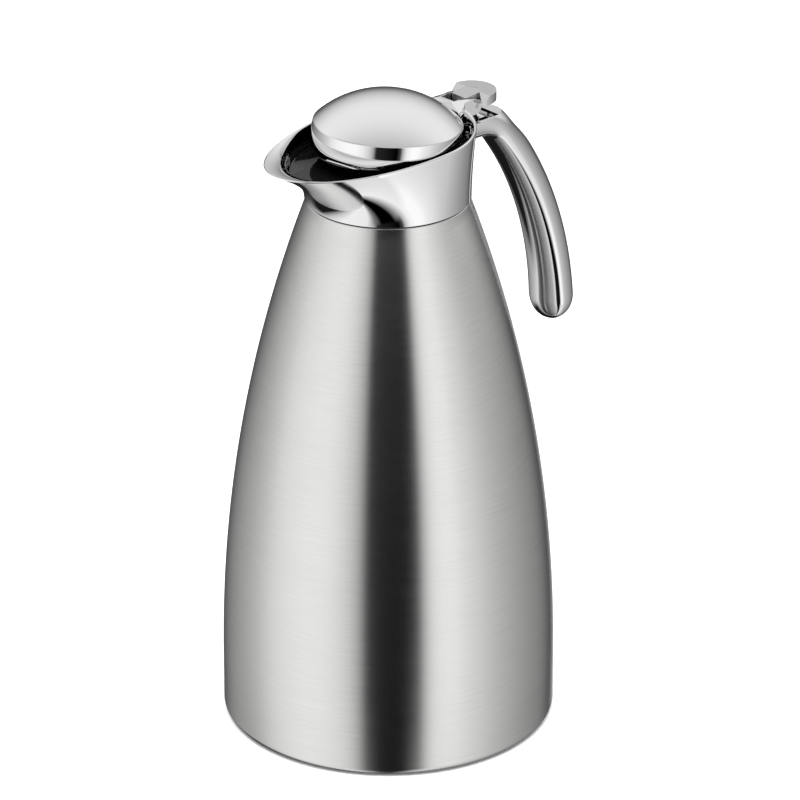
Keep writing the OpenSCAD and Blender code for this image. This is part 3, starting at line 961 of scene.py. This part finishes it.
def roof_tone(tree, axes):
    """The roof's grey for a direction. It is lighter towards both sides."""
    across = math_node(tree, "ABSOLUTE", axes["X"])
    lift = math_node(tree, "MULTIPLY_ADD", across, 0.2, axes["Z"])
    over = math_node(tree, "ARCTAN2", lift, axes["Y"])
    span = 180 - ROOF_START
    turn = math_node(tree, "MULTIPLY_ADD", over, 180 / math.pi / span, -ROOF_START / span)
    return ramp_node(tree, turn, [((angle - ROOF_START) / span, grey) for angle, grey in ROOF_TONES])


def make_world():
    """A soft light tent with a dark opening on the camera's side and a darker far side."""
    world = bpy.data.worlds.new("tent")
    bpy.context.scene.world = world
    world.use_nodes = True
    tree = world.node_tree
    tree.nodes.clear()
    direction = tree.nodes.new("ShaderNodeTexCoord").outputs["Generated"]
    turn_values = {"Vector": direction, "Rotation": (0, 0, VIEW_ANGLE)}
    turned = add_node(tree, "ShaderNodeMapping", turn_values).outputs[0]
    axes = add_node(tree, "ShaderNodeSeparateXYZ", {0: turned}).outputs
    towards = math_node(tree, "MULTIPLY", axes["Y"], -1.0)
    angle = math_node(tree, "ARCTAN2", axes["X"], towards)
    share = math_node(tree, "MULTIPLY_ADD", angle, 0.5 / math.pi, 0.5)
    walls = ramp_node(tree, share, around(WALL_TONES))
    ground = ramp_node(tree, share, around(GROUND_TONES))
    rise = math_node(tree, "MULTIPLY_ADD", axes["Y"], 0.5, axes["Z"])
    above_ground = smooth_step(tree, axes["Z"], *GROUND_EDGE)
    in_roof = smooth_step(tree, rise, *ROOF_EDGE)
    below_roof = mix_node(tree, above_ground, ground, walls)
    tent = mix_node(tree, in_roof, below_roof, roof_tone(tree, axes))
    in_view = tree.nodes.new("ShaderNodeLightPath").outputs["Is Camera Ray"]
    colour = mix_node(tree, in_view, tent, (1, 1, 1, 1))
    background = add_node(tree, "ShaderNodeBackground", {"Color": colour, "Strength": 1.0})
    output = tree.nodes.new("ShaderNodeOutputWorld")
    tree.links.new(background.outputs[0], output.inputs[0])


def make_light():
    """One wide soft light from above. Polished parts don't mirror it."""
    data = bpy.data.lights.new("soft_light", "AREA")
    data.shape = "DISK"
    data.size = 2.4
    data.energy = 90
    light = bpy.data.objects.new("soft_light", data)
    light.location = (-0.4, -0.4, 2.2)
    light.visible_glossy = False
    bpy.context.scene.collection.objects.link(light)
    aim = Vector((0, 0, 0.1)) - light.location
    light.rotation_euler = aim.to_track_quat("-Z", "Y").to_euler()


def make_camera():
    """A long lens, a little above the jug and towards the spout's side."""
    data = bpy.data.cameras.new("camera")
    data.lens = 270
    data.sensor_width = 36
    data.clip_start = 0.1
    data.clip_end = 50
    camera = bpy.data.objects.new("camera", data)
    camera.location = CAMERA_AT
    camera.rotation_euler = (math.pi / 2 - CAMERA_PITCH, 0, -VIEW_ANGLE - CAMERA_YAW)
    bpy.context.scene.collection.objects.link(camera)
    bpy.context.scene.camera = camera
    bpy.context.scene.view_settings.view_transform = "Standard"


dress_cad_nodes()
make_body_shell()
make_collar()
make_throat()
make_lid()
make_handle()
make_bracket()
make_lever()
make_pins()
make_springs()
make_floor()
make_world()
make_light()
make_camera()
